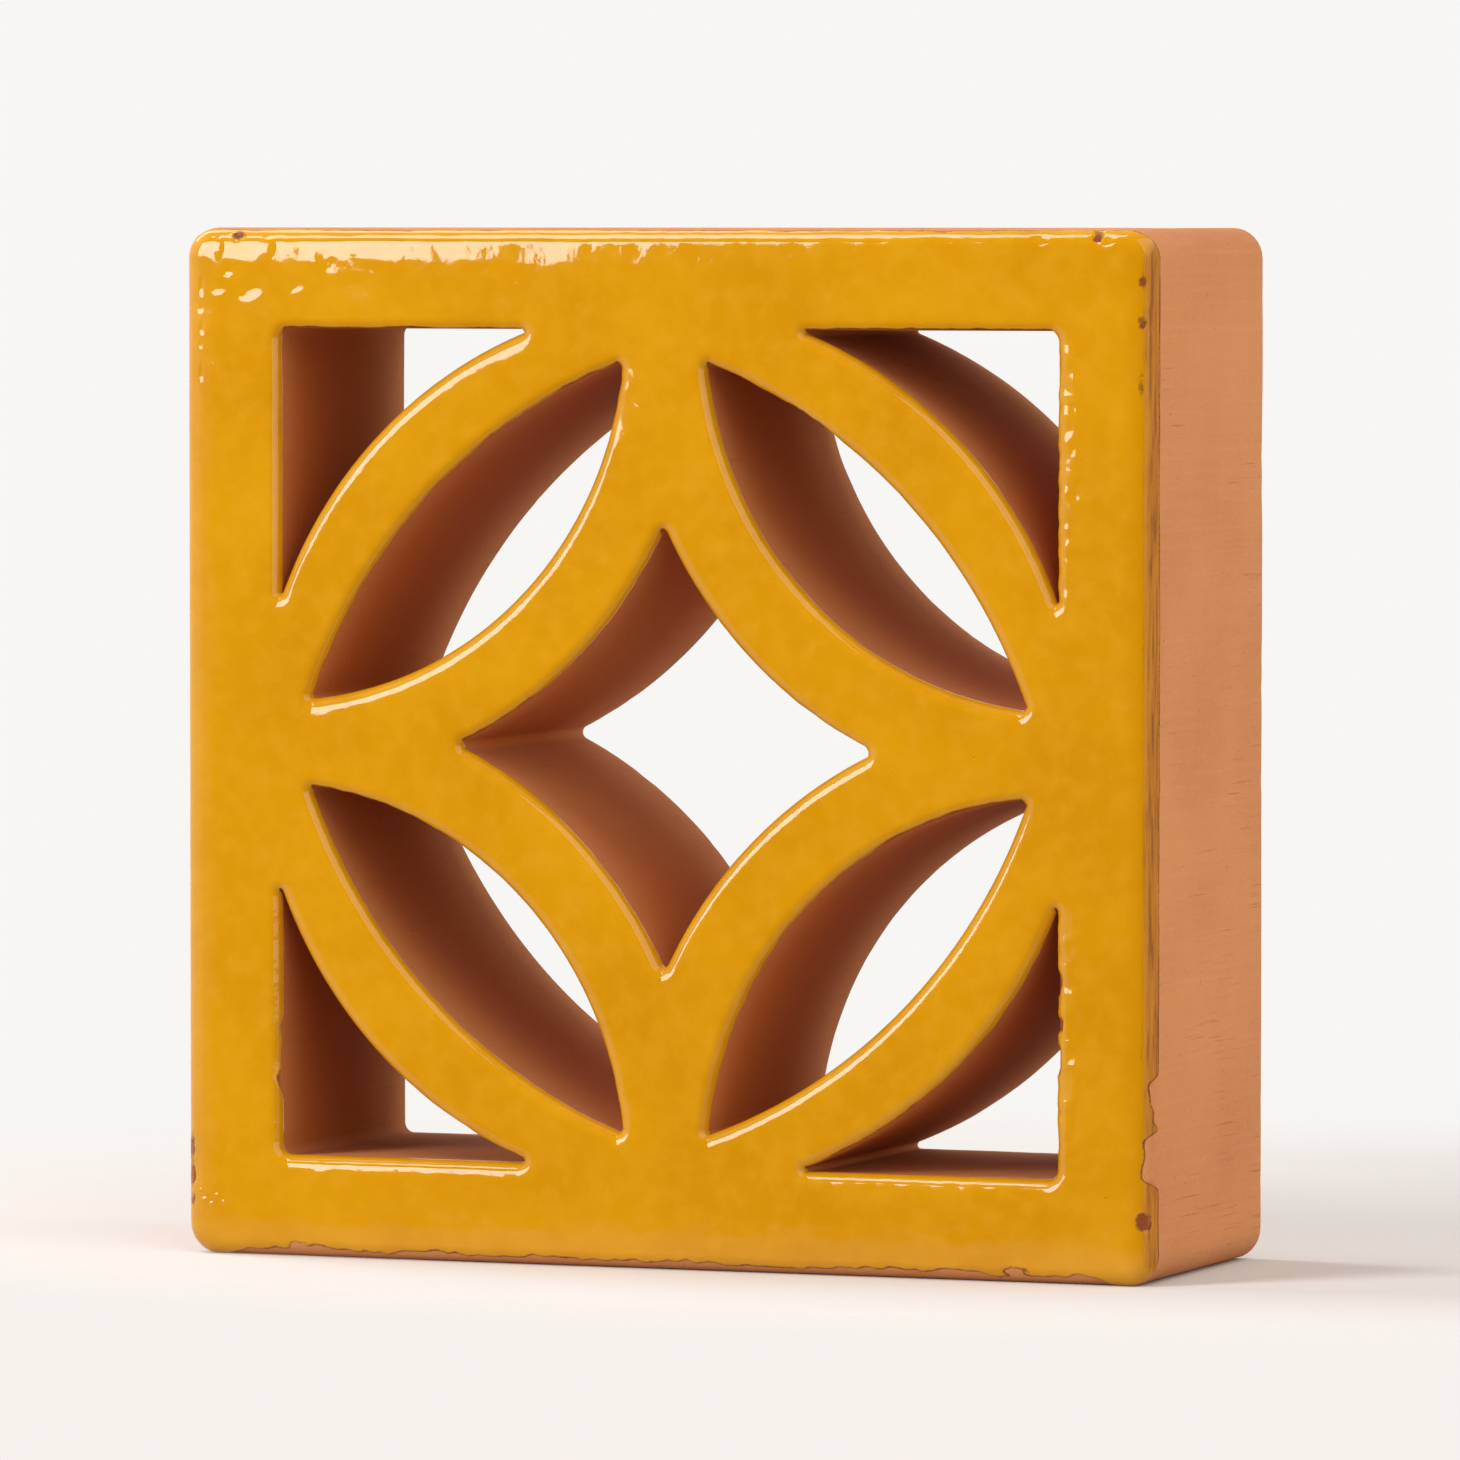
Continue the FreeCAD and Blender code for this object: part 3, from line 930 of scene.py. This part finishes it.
def dress(piece, material):
    """Give a piece its finish and its place in the frame."""
    piece.data.materials.clear()
    piece.data.materials.append(material)
    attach(piece, "root")
    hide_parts("screen_block")


class ScreenBlockClay(Operator):
    """Model the block of bare fired clay"""
    bl_idname = "screen_block.clay_body"
    bl_label = "Clay body"

    def execute(self, context):
        scene = context.scene
        body = make_clay_body(scene.screen_block_clay, scene.screen_block_glaze)
        dress(body, clay_material(scene.screen_block_finish))
        return {'FINISHED'}


class ScreenBlockGlaze(Operator):
    """Model the coat of glaze on the front"""
    bl_idname = "screen_block.glaze_coat"
    bl_label = "Glaze coat"

    def execute(self, context):
        scene = context.scene
        coat = make_glaze_coat(scene.screen_block_clay, scene.screen_block_glaze)
        dress(coat, glaze_material(scene.screen_block_finish))
        return {'FINISHED'}


# The floor fades with the distance from its middle, which is measured in steps of its own across and from
# front to back. All sizes and places of the stage are in metres.
FLOOR_MIDDLE = (0.05, 0.11)
FLOOR_STEPS = (0.30, 0.20)
FLOOR_RADIUS = 3.0
FLOOR_CORNERS = 96
# Each lamp's power setting, place, width and height. All point at the middle of the block.
LAMPS = {
    "key_lamp": ("key_power", (-1.168, -1.62, 0.67), 0.95, 0.85),
    "strip_lamp": ("strip_power", (-0.58, -0.80, 1.48), 0.30, 0.65),
    "top_lamp": ("top_power", (-1.04, 0.16, 1.3), 0.5, 1.3),
    "fill_lamp": ("fill_power", (1.5, -0.6, 0.95), 3.0, 2.4),
}


def light_paths(surface):
    """1 for rays from the camera, for mirrored rays and for rays through glass, one after another."""
    return [surface.node("ShaderNodeLightPath", output=f"Is {kind} Ray")
            for kind in ("Camera", "Glossy", "Transmission")]


def floor_material(stage):
    """Pale floor that fades into the white of the studio."""
    material, surface = new_material("studio_floor")
    across, deep = FLOOR_STEPS
    middle = (FLOOR_MIDDLE[0] / across, FLOOR_MIDDLE[1] / deep, 0)
    away = surface.node("ShaderNodeVectorMath", {"operation": 'DISTANCE'},
                        {0: surface.stretched(across, deep, 1), 1: middle}, output="Value")
    fade = surface.ramp(away * 0.5, ((0.375, 0), (0.625, 1)))
    camera, glossy, through = light_paths(surface)
    tint = surface.mix(camera + glossy + through, stage.floor_bounce, stage.floor)
    plain = surface.node("ShaderNodeBsdfDiffuse", inputs={"Color": tint})
    clear = surface.node("ShaderNodeBsdfTransparent")
    mixed = surface.node("ShaderNodeMixShader", inputs={0: fade, 1: plain, 2: clear})
    surface.node("ShaderNodeOutputMaterial", inputs={"Surface": mixed})
    return material


def make_floor(stage):
    bpy.ops.object.select_all(action='DESELECT')
    bpy.ops.mesh.primitive_circle_add(vertices=FLOOR_CORNERS, radius=FLOOR_RADIUS, fill_type='NGON')
    floor = bpy.context.object
    floor.name = "studio_floor"
    floor.data.materials.append(floor_material(stage))


def light_world(stage):
    """White to the eye; in the glaze white but for the dim front; a low soft light on everything."""
    world = bpy.data.worlds.new("studio")
    bpy.context.scene.world = world
    world.use_nodes = True
    surface = Surface(world.node_tree)
    direction = surface.node("ShaderNodeTexCoord", output="Generated")
    across, deep, up = (surface.node("ShaderNodeSeparateXYZ", inputs={0: direction}, output=axis)
                        for axis in "XYZ")
    towards_back = deep * 0.5 + 0.5
    height = up + 0.5
    aside = surface.ramp(towards_back, ((0.22, 0), (0.60, 1)))
    mirrored_tint = surface.mix(aside, stage.front_dim, stage.back_light)
    left = surface.ramp(0.5 - across * 0.5, ((0.72, 0), (0.84, 1)))
    mirrored_tint = surface.mix(left, mirrored_tint, stage.back_light)
    camera, glossy, through = light_paths(surface)
    behind = surface.ramp(towards_back, ((0.35, 0), (0.75, 1)))
    room_tint = surface.mix(behind, stage.room_light, stage.wall_light)
    below = surface.ramp(height, ((0.30, 1), (0.50, 0)))
    room_tint = surface.mix(below, room_tint, stage.floor_bounce)
    tint = surface.mix(glossy + through, room_tint, mirrored_tint)
    on_floor = surface.ramp(height, ((0.404, 1), (0.424, 0)))
    seen_tint = surface.mix(on_floor, stage.back_light, stage.far_floor)
    tint = surface.mix(camera, tint, seen_tint)
    sky = surface.node("ShaderNodeBackground", inputs={"Color": tint, "Strength": 1.0})
    surface.node("ShaderNodeOutputWorld", inputs={"Surface": sky})


def turn_towards(location, target):
    """The turn that points a lamp or camera from its place to a target."""
    return (Vector(target) - Vector(location)).to_track_quat('-Z', 'Y').to_euler()


def add_lamp(name, location, width, height, watts):
    turn = turn_towards(location, (0.0, 0.0, CENTRE_HEIGHT))
    bpy.ops.object.light_add(type='AREA', location=location, rotation=turn)
    lamp = bpy.context.object
    lamp.name = name
    lamp.data.shape = 'RECTANGLE'
    lamp.data.size = width
    lamp.data.size_y = height
    lamp.data.energy = watts
    lamp.visible_camera = False


class ScreenBlockStage(Operator):
    """Set up the floor, the light and the camera"""
    bl_idname = "screen_block.stage"
    bl_label = "Stage"

    def execute(self, context):
        stage = context.scene.screen_block_stage
        make_floor(stage)
        light_world(stage)
        for name, (setting, location, width, height) in LAMPS.items():
            add_lamp(name, location, width, height, getattr(stage, setting))
        turn = turn_towards(stage.camera, stage.target)
        bpy.ops.object.camera_add(location=stage.camera, rotation=turn)
        camera = context.object
        camera.data.lens = stage.lens
        context.scene.camera = camera
        context.scene.view_settings.view_transform = 'Standard'
        return {'FINISHED'}


class ScreenBlockPanel(Panel):
    """Screen block pieces and settings"""
    bl_idname = "VIEW3D_PT_screen_block"
    bl_label = "Screen block"
    bl_space_type = 'VIEW_3D'
    bl_region_type = 'UI'
    bl_category = "Screen block"

    def draw(self, context):
        for operator in OPERATORS:
            self.layout.operator(operator.bl_idname)
        for attribute, group in SETTINGS.items():
            box = self.layout.box()
            settings = getattr(context.scene, attribute)
            for name in group.__annotations__:
                box.prop(settings, name)


SETTINGS = {
    "screen_block_clay": ClaySizes,
    "screen_block_glaze": GlazeSizes,
    "screen_block_finish": Finish,
    "screen_block_stage": StageSettings,
}
OPERATORS = (ScreenBlockClay, ScreenBlockGlaze, ScreenBlockStage)


def register():
    for group in (*SETTINGS.values(), *OPERATORS, ScreenBlockPanel):
        bpy.utils.register_class(group)
    for attribute, group in SETTINGS.items():
        setattr(bpy.types.Scene, attribute, PointerProperty(type=group))


def unregister():
    for attribute in SETTINGS:
        delattr(bpy.types.Scene, attribute)
    for group in (ScreenBlockPanel, *OPERATORS, *SETTINGS.values()):
        bpy.utils.unregister_class(group)


def main():
    register()
    bpy.ops.screen_block.clay_body()
    bpy.ops.screen_block.glaze_coat()
    bpy.ops.screen_block.stage()


if __name__ == "__main__":
    main()
